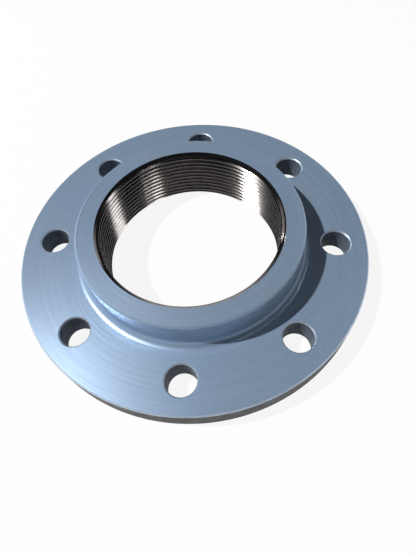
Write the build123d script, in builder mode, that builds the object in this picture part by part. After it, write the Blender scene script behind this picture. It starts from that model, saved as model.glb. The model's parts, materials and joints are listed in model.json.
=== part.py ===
from build123d import *
import math
import os

# Threaded pipe flange: one machined steel piece, a flat plate with a raised hub.
# Frame: millimetres, origin at the centre of the flat mating face, +Z along the bore
# towards the hub face.

# Bore, at the crests of its pipe thread
bore_dia = 108.9
bore_mouth_chamfer = 2.35
bore_exit_chamfer = 1.0

# Pipe thread: 8 threads per inch, right hand, 60 degrees between its flanks
thread_pitch = 25.4 / 8
thread_depth = 2.2
thread_angle = 60
thread_start_turn = 20

# Hub around the bore, its root blended into the plate in short facets
hub_wall = 13.85
hub_root_radius = 5.0
hub_root_facets = 4
hub_edge_chamfer = 1.0

# Plate, outward from the hub
plate_thickness = 16.0
plate_edge_chamfer = 0.8
overall_height = 36.5

# Bolt holes, spread evenly and straddling the X and Y centre lines
hub_to_bolt_circle = 20.6
bolt_circle_to_rim = 19.05
bolt_hole_count = 8
bolt_hole_dia = 17.5
bolt_hole_chamfer = 0.75

bore_radius = bore_dia / 2
hub_radius = bore_radius + hub_wall
bolt_circle_radius = hub_radius + hub_to_bolt_circle
plate_radius = bolt_circle_radius + bolt_circle_to_rim
bolt_hole_step = 360 / bolt_hole_count

# The thread's tool starts and stops outside the finished flange, and clears the bore's wall
end_stock = 3 * thread_pitch
tool_clearance = 0.08


def rings(part, radius, *heights):
    """The circular edges of this radius at these heights."""
    circles = part.edges().filter_by(GeomType.CIRCLE)
    return circles.filter_by(
        lambda edge: abs(edge.radius - radius) < 1e-6
        and any(abs(edge.center().Z - height) < 1e-6 for height in heights)
    )


def hub_root_point(turn):
    """Point of the hub root's blend, from the hub's side at 0 degrees to the plate at 90."""
    return (
        hub_radius + hub_root_radius * (1 - math.cos(math.radians(turn))),
        plate_thickness + hub_root_radius * (1 - math.sin(math.radians(turn))),
    )


# Turned form: plate and hub, without the thread
with BuildPart() as turned:
    # Section from the bore's mouth down the hub and out to the rim, and back to the bore's exit
    with BuildSketch(Plane.XZ):
        with BuildLine():
            Polyline(
                (bore_radius - bore_mouth_chamfer, overall_height - 2 * bore_mouth_chamfer),
                (bore_radius + bore_mouth_chamfer, overall_height),
                (hub_radius, overall_height),
                *[hub_root_point(90 * step / hub_root_facets) for step in range(hub_root_facets + 1)],
                (plate_radius, plate_thickness),
                (plate_radius, 0),
                (bore_radius + bore_exit_chamfer, 0),
                (bore_radius - bore_exit_chamfer, 2 * bore_exit_chamfer),
                close=True,
            )
        make_face()
    revolve(axis=Axis.Z)
    chamfer(rings(turned, hub_radius, overall_height), hub_edge_chamfer)
    chamfer(rings(turned, plate_radius, 0, plate_thickness), plate_edge_chamfer)

    # Drilled bolt holes, with their rims broken on the hub's side
    with Locations(Plane.XY.offset(plate_thickness)):
        with PolarLocations(bolt_circle_radius, bolt_hole_count, start_angle=bolt_hole_step / 2):
            Hole(bolt_hole_dia / 2)
    chamfer(rings(turned, bolt_hole_dia / 2, plate_thickness), bolt_hole_chamfer)

# Thread groove: one V section swept along its helix, from stock to stock
groove_start = -end_stock / 2
groove_half_width = (thread_depth + tool_clearance) * math.tan(math.radians(thread_angle / 2))
with BuildPart() as groove:
    with BuildSketch(Plane.XZ):
        with BuildLine():
            Polyline(
                (bore_radius - tool_clearance, groove_start - groove_half_width),
                (bore_radius + thread_depth, groove_start),
                (bore_radius - tool_clearance, groove_start + groove_half_width),
                close=True,
            )
        make_face()
    helix = Helix(
        pitch=thread_pitch,
        height=overall_height + end_stock,
        radius=bore_radius,
        center=(0, 0, groove_start),
    )
    sweep(path=helix, is_frenet=True)

# Bored and threaded stock, cut down to the turned form
with BuildPart() as flange:
    with BuildSketch(Plane.XY.offset(-end_stock)):
        Circle(plate_radius)
        Circle(bore_radius, mode=Mode.SUBTRACT)
    extrude(amount=overall_height + 2 * end_stock)
    add(groove.part.rotate(Axis.Z, thread_start_turn), mode=Mode.SUBTRACT)
    add(turned.part, mode=Mode.INTERSECT)

flange.part.label = "flange"

os.makedirs("parts", exist_ok=True)
export_step(flange.part, "parts/flange.step")
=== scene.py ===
import json
import math

import bmesh
import bpy
from mathutils import Matrix, Quaternion, Vector


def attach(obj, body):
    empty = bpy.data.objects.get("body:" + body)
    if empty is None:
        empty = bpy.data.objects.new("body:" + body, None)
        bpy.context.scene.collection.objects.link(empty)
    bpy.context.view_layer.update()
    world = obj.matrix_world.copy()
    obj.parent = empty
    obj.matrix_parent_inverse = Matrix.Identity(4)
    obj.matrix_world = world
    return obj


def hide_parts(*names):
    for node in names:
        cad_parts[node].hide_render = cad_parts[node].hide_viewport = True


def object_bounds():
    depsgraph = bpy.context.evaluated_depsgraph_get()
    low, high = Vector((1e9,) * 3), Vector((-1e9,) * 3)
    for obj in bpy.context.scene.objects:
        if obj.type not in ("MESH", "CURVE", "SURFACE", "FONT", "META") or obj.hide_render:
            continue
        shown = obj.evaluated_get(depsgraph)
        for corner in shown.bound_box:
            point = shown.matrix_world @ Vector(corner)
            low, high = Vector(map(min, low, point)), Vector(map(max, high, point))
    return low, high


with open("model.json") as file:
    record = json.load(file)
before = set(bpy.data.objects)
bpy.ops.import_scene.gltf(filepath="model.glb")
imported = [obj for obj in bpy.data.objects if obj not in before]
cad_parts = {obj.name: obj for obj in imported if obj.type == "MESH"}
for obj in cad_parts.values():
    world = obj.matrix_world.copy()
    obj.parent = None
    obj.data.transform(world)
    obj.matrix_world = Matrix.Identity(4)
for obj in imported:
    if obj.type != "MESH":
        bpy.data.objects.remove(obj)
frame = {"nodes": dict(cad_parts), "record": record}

# Threaded pipe flange in bare turned steel, on a pale studio floor.
# Metres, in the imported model's frame: origin in the flat mating face, +Z along the bore.

cad_low, cad_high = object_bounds()
FLANGE = frame["nodes"]["flange"]
MOUNTS = {mount["name"]: mount["dims"] for mount in frame["record"]["mounts"]}

MM = 0.001

# Sizes that the frame gives
HEIGHT = cad_high.z
PLATE_RADIUS = cad_high.x
BORE_RADIUS = MOUNTS["pipe_thread"]["r_mm"] * MM
BOLT_CIRCLE_RADIUS = MOUNTS["bolt_holes"]["pcd_mm"] / 2 * MM
BOLT_HOLE_RADIUS = MOUNTS["bolt_holes"]["hole_r_mm"] * MM
BOLT_HOLE_COUNT = MOUNTS["bolt_holes"]["count"]

# Sizes of the solid's hub and plate
HUB_RADIUS = 68.3 * MM
PLATE_THICKNESS = 16.0 * MM
HUB_ROOT_RADIUS = 5.0 * MM
HUB_ROOT_STEPS = 12
HOLE_CHAMFER = 0.75 * MM
RIM_CHAMFER = 0.8 * MM

# Pipe thread, 8 to the inch, its crests at the bore's radius
THREAD_PITCH = 25.4 / 8 * MM
THREAD_DEPTH = 2.2 * MM
THREAD_FLANK = math.radians(60)
THREAD_START = math.radians(20)
THREAD_CREST_ROUND = 0.12 * MM
THREAD_ROOT_ROUND = 0.25 * MM
THREAD_STEPS_ROUND = 360
THREAD_ARC_STEPS = 3

# The flat faces' inner edges stand this far outside the thread's roots
FACE_SETBACK = 0.4 * MM

WELD = 1e-6

# Finishes, in the order of the mesh's material slots; the rim's and the bolt holes' colours also hold
# painted shade, the chamfers' a painted highlight
TURNED, THREAD, RIM, HOLE, EDGE = range(5)

# Tool marks: how many to the metre across them, and how they change round the axis
MARKS_ACROSS = 1300.0
MARKS_ROUND = 1.4
COARSE_MARKS_ACROSS = 330.0
GRAIN_SCALE = 650.0
CLOUD_SCALE = 22.0

# Lamps: azimuth and elevation in degrees, distance and size in metres, and their level on a card
LAMPS = {
    "key": (159.2, 54.4, 2.5, 0.08, 1.2),
    "right": (4, 52, 2.0, 0.32, 0.034),
    "front_thin": (-36, 68, 2.0, 0.14, 0.004),
    "front_wide": (-51, 70, 2.0, 0.22, 0.018),
}

# Surroundings: pale at the horizon and dark overhead
SKY_LOW = (0.95, 0.95, 0.95)
SKY_HIGH = (0.03, 0.032, 0.036)
SKY_LOW_TOP = math.sin(math.radians(5))
SKY_HIGH_START = math.sin(math.radians(18))

STAGE_RADIUS = 6.0
STAGE_DROP = 0.0001
STAGE_STEPS_ROUND = 96
STAGE_GLOW = 0.9

# Camera, from the photograph's viewpoint
CAMERA_PLACE = Vector((-0.03105, -0.15302, 0.23586))
CAMERA_AIM = Vector((0.00285, -0.01904, 0.0))
CAMERA_ROLL = math.radians(-6.36)
CAMERA_LENS = 27.68
SENSOR = 36.0


def radius_of(point):
    """Distance from the bore's axis."""
    return math.hypot(point.x, point.y)


# Thread


def rounded_corner(start_tilt, end_tilt, corner, radius):
    """Points and tilts of an arc that rounds one corner of the thread's profile."""
    turn = end_tilt - start_tilt
    reach = radius * math.tan(abs(turn) / 2)
    side = math.copysign(1, turn)
    along = Vector((math.cos(start_tilt), math.sin(start_tilt)))
    first = Vector(corner) - along * reach
    centre = first + side * radius * Vector((-along.y, along.x))
    points = []
    for step in range(THREAD_ARC_STEPS + 1):
        tilt = start_tilt + turn * step / THREAD_ARC_STEPS
        spot = centre - side * radius * Vector((-math.sin(tilt), math.cos(tilt)))
        points.append((spot.x, spot.y, tilt))
    return points


def thread_profile():
    """One pitch of the groove: (height, radius, tilt) from the middle of a crest upwards.

    The tilt is the profile's own direction, 0 along the bore and positive outwards.
    """
    crest, root = BORE_RADIUS, BORE_RADIUS + THREAD_DEPTH
    flank_run = THREAD_DEPTH / math.tan(THREAD_FLANK)
    flat = (THREAD_PITCH - 2 * flank_run) / 2
    crest_end = flat / 2
    root_start = crest_end + flank_run
    root_end = root_start + flat
    crest_start = root_end + flank_run
    return (
        rounded_corner(0, THREAD_FLANK, (crest_end, crest), THREAD_CREST_ROUND)
        + rounded_corner(THREAD_FLANK, 0, (root_start, root), THREAD_ROOT_ROUND)
        + rounded_corner(0, -THREAD_FLANK, (root_end, root), THREAD_ROOT_ROUND)
        + rounded_corner(-THREAD_FLANK, 0, (crest_start, crest), THREAD_CREST_ROUND)
    )


def unrolled_thread(bm, tilt_layer):
    """The thread as a corrugated sheet: x is the angle, y the radius and z the height."""
    profile = thread_profile()
    turns = math.ceil(HEIGHT / THREAD_PITCH) + 3
    rows = [
        (turn * THREAD_PITCH + height, radius, tilt)
        for turn in range(-2, turns)
        for height, radius, tilt in profile
    ]
    columns = []
    for step in range(THREAD_STEPS_ROUND + 1):
        angle = 2 * math.pi * step / THREAD_STEPS_ROUND
        rise = THREAD_PITCH * (angle - THREAD_START) / (2 * math.pi)
        column = []
        for height, radius, tilt in rows:
            vert = bm.verts.new((angle, radius, height + rise))
            vert[tilt_layer] = tilt
            column.append(vert)
        columns.append(column)
    for left, right in zip(columns, columns[1:]):
        for low in range(len(rows) - 1):
            bm.faces.new((left[low], left[low + 1], right[low + 1], right[low]))


def cut(bm, point, normal, clear=False):
    """Splits the sheet along a plane, and with clear drops what lies on the normal's side."""
    geometry = bm.verts[:] + bm.edges[:] + bm.faces[:]
    bmesh.ops.bisect_plane(
        bm, geom=geometry, dist=1e-8, plane_co=point, plane_no=normal, clear_outer=clear
    )


def chamfer_radius(height, mouth, exit_):
    """Radius of the bore's two chamfers at this height; under the bore's own between them."""
    return max(mouth - (HEIGHT - height), exit_ - height)


def thread_sheet(mouth, exit_):
    """The threaded bore wall, with the mouth's and the exit's chamfers cut into its crests."""
    bm = bmesh.new()
    tilt_layer = bm.verts.layers.float.new("tilt")
    unrolled_thread(bm, tilt_layer)
    cut(bm, (0, 0, HEIGHT), (0, 0, 1), clear=True)
    cut(bm, (0, 0, 0), (0, 0, -1), clear=True)
    cut(bm, (0, mouth, HEIGHT), (0, -1, 1))
    cut(bm, (0, exit_, 0), (0, -1, -1))
    corner_layer = bm.loops.layers.float_vector.new("true_normal")
    for vert in bm.verts:
        vert.co.y = max(vert.co.y, chamfer_radius(vert.co.z, mouth, exit_))
    for face in bm.faces:
        middle = face.calc_center_median()
        on_chamfer = middle.y - chamfer_radius(middle.z, mouth, exit_) < WELD
        chamfer_tilt = math.radians(45 if middle.z > HEIGHT / 2 else -45)
        for loop in face.loops:
            tilt = chamfer_tilt if on_chamfer else loop.vert[tilt_layer]
            angle = loop.vert.co.x
            inward = -math.cos(tilt)
            loop[corner_layer] = (
                inward * math.cos(angle), inward * math.sin(angle), math.sin(tilt)
            )
        face.material_index = THREAD
    for vert in bm.verts:
        angle, radius, height = vert.co
        vert.co = (radius * math.cos(angle), radius * math.sin(angle), height)
    mesh = bpy.data.meshes.new("thread_sheet")
    bm.to_mesh(mesh)
    bm.free()
    return mesh


# Body


def cad_copy():
    """A copy of the CAD node's mesh that keeps its corner normals as an attribute."""
    mesh = FLANGE.data.copy()
    attribute = mesh.attributes.new("true_normal", "FLOAT_VECTOR", "CORNER")
    for slot, normal in zip(attribute.data, FLANGE.data.corner_normals):
        slot.vector = normal.vector
    return mesh


def ring_angle(vert):
    return math.atan2(vert.co.y, vert.co.x) % (2 * math.pi)


def join_rings(bm, inner, outer, up, corner_layer):
    """Flat faces between two rings of points round the axis, facing along up."""
    inner = sorted(inner, key=ring_angle)
    outer = sorted(outer, key=ring_angle)
    i = j = 0
    while i < len(inner) or j < len(outer):
        here, there = inner[i % len(inner)], outer[j % len(outer)]
        inner_next = ring_angle(inner[i + 1]) if i + 1 < len(inner) else 2 * math.pi + i - len(inner)
        outer_next = ring_angle(outer[j + 1]) if j + 1 < len(outer) else 2 * math.pi + j - len(outer)
        if j >= len(outer) or (i < len(inner) and inner_next <= outer_next):
            corners = (here, there, inner[(i + 1) % len(inner)])
            i += 1
        else:
            corners = (here, there, outer[(j + 1) % len(outer)])
            j += 1
        face = bm.faces.new(corners)
        face.smooth = True
        face.normal_update()
        if face.normal.z * up < 0:
            face.normal_flip()
        for loop in face.loops:
            loop[corner_layer] = (0, 0, up)


def is_bore_face(face, mouth):
    return all(radius_of(vert.co) < mouth + WELD for vert in face.verts)


def round_hub_root(bm, corner_layer):
    """Turns the faceted blend at the hub's root into a smooth quarter circle."""
    centre_height = PLATE_THICKNESS + HUB_ROOT_RADIUS
    for step in range(1, HUB_ROOT_STEPS):
        turn = math.pi / 2 * step / HUB_ROOT_STEPS
        cut(bm, (0, 0, centre_height - HUB_ROOT_RADIUS * math.sin(turn)), (0, 0, 1))
    for vert in bm.verts:
        if PLATE_THICKNESS + WELD < vert.co.z < centre_height - WELD:
            sine = (centre_height - vert.co.z) / HUB_ROOT_RADIUS
            radius = HUB_RADIUS + HUB_ROOT_RADIUS * (1 - math.sqrt(1 - sine * sine))
            vert.co.xy *= radius / radius_of(vert.co)
    for face in bm.faces:
        if PLATE_THICKNESS + WELD < face.calc_center_median().z < centre_height:
            for loop in face.loops:
                x, y, z = loop.vert.co
                sine = min(1, (centre_height - z) / HUB_ROOT_RADIUS)
                cosine = math.sqrt(1 - sine * sine)
                turn = math.atan2(y, x)
                loop[corner_layer] = (cosine * math.cos(turn), cosine * math.sin(turn), sine)


def bolt_hole_distance(point):
    """Distance from the nearest bolt hole's axis."""
    step = 2 * math.pi / BOLT_HOLE_COUNT
    turn = math.atan2(point.y, point.x)
    nearest = (math.floor(turn / step) + 0.5) * step
    return math.hypot(
        point.x - BOLT_CIRCLE_RADIUS * math.cos(nearest),
        point.y - BOLT_CIRCLE_RADIUS * math.sin(nearest),
    )


def finish_of(face):
    """Which finish a face of the CAD body has; the rim, hole and chamfer finishes also carry painted
    shade or highlight.
    """
    farthest = max(bolt_hole_distance(vert.co) for vert in face.verts)
    if farthest < BOLT_HOLE_RADIUS + WELD:
        return HOLE
    if farthest < BOLT_HOLE_RADIUS + HOLE_CHAMFER + WELD:
        return EDGE
    if all(radius_of(vert.co) > PLATE_RADIUS - WELD for vert in face.verts):
        return RIM
    if all(radius_of(vert.co) > PLATE_RADIUS - RIM_CHAMFER - WELD for vert in face.verts):
        return EDGE
    return TURNED


def build_flange():
    """The CAD body with its thread and hub root in finer form, as one closed mesh."""
    bm = bmesh.new()
    bm.from_mesh(cad_copy())
    bmesh.ops.remove_doubles(bm, verts=bm.verts, dist=WELD)
    corner_layer = bm.loops.layers.float_vector["true_normal"]
    top_ring_radius = min(radius_of(v.co) for v in bm.verts if v.co.z > HEIGHT - WELD)
    low_ring_radius = min(radius_of(v.co) for v in bm.verts if v.co.z < WELD)
    bore = [face for face in bm.faces if is_bore_face(face, top_ring_radius)]
    bmesh.ops.delete(bm, geom=bore, context="FACES")

    round_hub_root(bm, corner_layer)
    for face in bm.faces:
        face.material_index = finish_of(face)

    face_radius = BORE_RADIUS + THREAD_DEPTH + FACE_SETBACK
    for vert in bm.verts:
        if vert.is_boundary:
            vert.co.xy *= face_radius / radius_of(vert.co)

    bm.from_mesh(thread_sheet(top_ring_radius, low_ring_radius))
    bmesh.ops.remove_doubles(bm, verts=bm.verts, dist=WELD)
    for level, up in ((HEIGHT, 1), (0, -1)):
        open_points = [v for v in bm.verts if v.is_boundary and abs(v.co.z - level) < WELD]
        inner = [v for v in open_points if radius_of(v.co) < face_radius - WELD]
        outer = [v for v in open_points if v not in inner]
        join_rings(bm, inner, outer, up, corner_layer)

    mesh = bpy.data.meshes.new("threaded_flange")
    bm.to_mesh(mesh)
    bm.free()
    mesh.shade_smooth()
    normals = [corner.vector.copy() for corner in mesh.attributes["true_normal"].data]
    mesh.attributes.remove(mesh.attributes["true_normal"])
    mesh.normals_split_custom_set(normals)
    flange = bpy.data.objects.new("threaded_flange", mesh)
    bpy.context.scene.collection.objects.link(flange)
    return flange


# Materials


def math_node(tree, operation, first, second=None):
    """A math node on two inputs, each a socket or a number; gives its output."""
    node = tree.nodes.new("ShaderNodeMath")
    node.operation = operation
    for slot, value in zip(node.inputs, (first, second)):
        if isinstance(value, bpy.types.NodeSocket):
            tree.links.new(value, slot)
        elif value is not None:
            slot.default_value = value
    return node.outputs[0]


def noise(tree, vector, scale, detail=2.0, roughness=0.5):
    """Noise from 0 to 1 over these coordinates."""
    node = tree.nodes.new("ShaderNodeTexNoise")
    node.inputs["Scale"].default_value = scale
    node.inputs["Detail"].default_value = detail
    node.inputs["Roughness"].default_value = roughness
    tree.links.new(vector, node.inputs["Vector"])
    return node.outputs["Fac"]


def spread(tree, value, low, high, from_low=0.3, from_high=0.7):
    """The value's range, from_low to from_high, drawn out to low to high and clamped there."""
    node = tree.nodes.new("ShaderNodeMapRange")
    for name, number in (
        ("From Min", from_low), ("From Max", from_high), ("To Min", low), ("To Max", high)
    ):
        node.inputs[name].default_value = number
    tree.links.new(value, node.inputs["Value"])
    return node.outputs["Result"]


def mix_colour(tree, factor, first, second, blend="MIX"):
    """Mixes two colours, each a socket or three numbers."""
    node = tree.nodes.new("ShaderNodeMix")
    node.data_type = "RGBA"
    node.blend_type = blend
    slots = [socket for socket in node.inputs if socket.type == "RGBA"]
    for slot, value in zip(slots, (first, second)):
        if isinstance(value, bpy.types.NodeSocket):
            tree.links.new(value, slot)
        else:
            slot.default_value = (*value, 1.0)
    if isinstance(factor, bpy.types.NodeSocket):
        tree.links.new(factor, node.inputs["Factor"])
    else:
        node.inputs["Factor"].default_value = factor
    return next(socket for socket in node.outputs if socket.type == "RGBA")


def lathe_coordinates(tree, across, around):
    """Coordinates that follow the lathe's tool, with this many steps to the metre across its marks."""
    place = tree.nodes.new("ShaderNodeTexCoord").outputs["Object"]
    split = tree.nodes.new("ShaderNodeSeparateXYZ")
    tree.links.new(place, split.inputs[0])
    x, y, z = split.outputs
    squares = math_node(
        tree, "ADD", math_node(tree, "MULTIPLY", x, x), math_node(tree, "MULTIPLY", y, y)
    )
    radius = math_node(tree, "SQRT", squares)
    joined = tree.nodes.new("ShaderNodeCombineXYZ")
    for slot, side in enumerate((x, y)):
        turn = math_node(tree, "DIVIDE", side, radius)
        tree.links.new(math_node(tree, "MULTIPLY", turn, around), joined.inputs[slot])
    depth = math_node(tree, "ADD", radius, z)
    tree.links.new(math_node(tree, "MULTIPLY", depth, across), joined.inputs[2])
    return joined.outputs[0]


def bump(tree, height, depth, shader):
    node = tree.nodes.new("ShaderNodeBump")
    node.inputs["Strength"].default_value = 1.0
    node.inputs["Distance"].default_value = depth
    tree.links.new(height, node.inputs["Height"])
    tree.links.new(node.outputs["Normal"], shader.inputs["Normal"])


def metal(name, metallic, anisotropy=0.0):
    """A metal, dulled by what it lacks of metallic, its highlights drawn out across the tool marks."""
    material = bpy.data.materials.new(name)
    material.use_nodes = True
    tree = material.node_tree
    shader = tree.nodes["Principled BSDF"]
    shader.inputs["Metallic"].default_value = metallic
    shader.inputs["Anisotropic"].default_value = anisotropy
    shader.inputs["Anisotropic Rotation"].default_value = 0.25
    tangent = tree.nodes.new("ShaderNodeTangent")
    tangent.direction_type = "RADIAL"
    tangent.axis = "Z"
    tree.links.new(tangent.outputs[0], shader.inputs["Tangent"])
    return material, tree, shader


def turned_steel():
    """Bare turned steel: fine and coarse tool marks round the axis over a mottled grain."""
    material, tree, shader = metal("turned_steel", 0.5, 0.2)
    fine = noise(tree, lathe_coordinates(tree, MARKS_ACROSS, MARKS_ROUND), 1.0, 3.0, 0.6)
    coarse = noise(tree, lathe_coordinates(tree, COARSE_MARKS_ACROSS, MARKS_ROUND), 1.0, 2.0, 0.5)
    place = tree.nodes.new("ShaderNodeTexCoord").outputs["Object"]
    grain = noise(tree, place, GRAIN_SCALE, 3.0, 0.65)
    clouds = noise(tree, place, CLOUD_SCALE, 3.0, 0.6)

    marks = math_node(tree, "ADD", spread(tree, fine, 0, 0.5), spread(tree, coarse, 0, 0.5))
    tone = math_node(
        tree, "ADD",
        math_node(tree, "MULTIPLY", marks, 0.55),
        math_node(tree, "MULTIPLY", spread(tree, grain, 0, 1), 0.45),
    )
    bare = mix_colour(tree, tone, (0.26, 0.35, 0.485), (0.355, 0.465, 0.635))
    tinted = mix_colour(tree, spread(tree, clouds, 0, 1), (0.93, 0.98, 1.0), (1.0, 1.0, 0.97))
    tree.links.new(mix_colour(tree, 1.0, bare, tinted, "MULTIPLY"), shader.inputs["Base Color"])
    tree.links.new(spread(tree, grain, 0.38, 0.33), shader.inputs["Roughness"])
    relief = math_node(tree, "ADD", marks, math_node(tree, "MULTIPLY", grain, 0.4))
    bump(tree, relief, 0.00003, shader)
    return material


def plain_metal(name, metallic, dark, light, roughness, shine=0.5):
    """Metal with a mottled tone and no marks that show."""
    material, tree, shader = metal(name, metallic)
    shader.inputs["Specular IOR Level"].default_value = shine
    place = tree.nodes.new("ShaderNodeTexCoord").outputs["Object"]
    grain = noise(tree, place, GRAIN_SCALE / 4, 4.0, 0.7)
    tone = mix_colour(tree, spread(tree, grain, 0, 1), dark, light)
    tree.links.new(tone, shader.inputs["Base Color"])
    tree.links.new(spread(tree, grain, roughness * 1.15, roughness * 0.85), shader.inputs["Roughness"])
    return material


flange = build_flange()
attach(flange, "root")
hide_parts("flange")

for finish in (
    turned_steel(),
    plain_metal("cut_thread", 1.0, (0.17, 0.16, 0.155), (0.24, 0.225, 0.22), 0.12),
    # Rim: dark mill scale, made darker still as painted shade, so that it stays dark while it mirrors
    # the white floor
    plain_metal("scaled_rim_and_painted_shade", 0.0, (0.05, 0.048, 0.045), (0.09, 0.09, 0.09), 0.6, 0.3),
    # Bolt-hole walls: dark drilled steel, made darker still as painted shade, so that they stay dark
    # while they mirror the white floor
    plain_metal("drilled_wall_and_painted_shade", 0.0, (0.08, 0.10, 0.13), (0.12, 0.15, 0.19), 0.6, 0.2),
    # Chamfers: partly a more polished edge, partly a painted highlight in their colour, which is
    # brighter than the faces'
    plain_metal("broken_edge_and_painted_highlight", 0.8, (0.50, 0.60, 0.72), (0.62, 0.72, 0.85), 0.4),
):
    flange.data.materials.append(finish)


# Studio


def lamp(name, azimuth, elevation, distance, size, level):
    """A round lamp aimed at the origin; level is how bright a white card facing it looks."""
    data = bpy.data.lights.new(name, "AREA")
    data.shape = "DISK"
    data.size = size
    data.energy = level * math.pi * math.pi * distance ** 2
    light = bpy.data.objects.new(name, data)
    turn, rise = math.radians(azimuth), math.radians(elevation)
    away = Vector((math.cos(turn) * math.cos(rise), math.sin(turn) * math.cos(rise), math.sin(rise)))
    light.location = away * distance
    light.rotation_mode = "QUATERNION"
    light.rotation_quaternion = (-away).to_track_quat("-Z", "Y")
    bpy.context.scene.collection.objects.link(light)


def white_stage_material():
    """White card: full white where it is seen or mirrored, with a share of its own shadows."""
    material = bpy.data.materials.new("white_card")
    material.use_nodes = True
    tree = material.node_tree
    card = tree.nodes["Principled BSDF"]
    card.inputs["Base Color"].default_value = (0.8, 0.8, 0.8, 1)
    card.inputs["Roughness"].default_value = 0.9
    glow = tree.nodes.new("ShaderNodeEmission")
    seen = tree.nodes.new("ShaderNodeLightPath")
    looked_at = math_node(
        tree, "MAXIMUM",
        math_node(tree, "MAXIMUM", seen.outputs["Is Camera Ray"], seen.outputs["Is Glossy Ray"]),
        seen.outputs["Is Transmission Ray"],
    )
    mixer = tree.nodes.new("ShaderNodeMixShader")
    tree.links.new(math_node(tree, "MULTIPLY", looked_at, STAGE_GLOW), mixer.inputs[0])
    tree.links.new(card.outputs[0], mixer.inputs[1])
    tree.links.new(glow.outputs[0], mixer.inputs[2])
    clear = tree.nodes.new("ShaderNodeBsdfTransparent")
    outer = tree.nodes.new("ShaderNodeMixShader")
    geometry = tree.nodes.new("ShaderNodeNewGeometry")
    tree.links.new(geometry.outputs["Backfacing"], outer.inputs[0])
    tree.links.new(mixer.outputs[0], outer.inputs[1])
    tree.links.new(clear.outputs[0], outer.inputs[2])
    tree.links.new(outer.outputs[0], tree.nodes["Material Output"].inputs["Surface"])
    return material


def build_stage():
    """A wide round floor just under the flange."""
    bm = bmesh.new()
    bmesh.ops.create_circle(
        bm, cap_ends=True, segments=STAGE_STEPS_ROUND, radius=STAGE_RADIUS
    )
    bmesh.ops.translate(bm, verts=bm.verts, vec=(0, 0, -STAGE_DROP))
    bmesh.ops.recalc_face_normals(bm, faces=bm.faces)
    for face in bm.faces:
        if face.normal.z < 0:
            face.normal_flip()
    mesh = bpy.data.meshes.new("floor")
    bm.to_mesh(mesh)
    bm.free()
    mesh.materials.append(white_stage_material())
    stage = bpy.data.objects.new("floor", mesh)
    bpy.context.scene.collection.objects.link(stage)


def build_world():
    """Pale round the horizon and dark overhead."""
    world = bpy.data.worlds.new("studio")
    bpy.context.scene.world = world
    world.use_nodes = True
    tree = world.node_tree
    direction = tree.nodes.new("ShaderNodeTexCoord").outputs["Generated"]
    split = tree.nodes.new("ShaderNodeSeparateXYZ")
    tree.links.new(direction, split.inputs[0])
    rise = spread(tree, split.outputs[2], 0, 1, SKY_LOW_TOP, SKY_HIGH_START)
    tree.links.new(mix_colour(tree, rise, SKY_LOW, SKY_HIGH), tree.nodes["Background"].inputs["Color"])


build_stage()
build_world()
for name, (azimuth, elevation, distance, size, level) in LAMPS.items():
    lamp(name, azimuth, elevation, distance, size, level)

camera = bpy.data.objects.new("camera", bpy.data.cameras.new("camera"))
bpy.context.scene.collection.objects.link(camera)
camera.location = CAMERA_PLACE
camera.rotation_mode = "QUATERNION"
level_view = (CAMERA_AIM - CAMERA_PLACE).to_track_quat("-Z", "Y")
camera.rotation_quaternion = level_view @ Quaternion((0, 0, 1), CAMERA_ROLL)
camera.data.lens = CAMERA_LENS
camera.data.sensor_width = SENSOR
camera.data.clip_start = 0.01
bpy.context.scene.camera = camera

bpy.context.scene.view_settings.view_transform = "Standard"
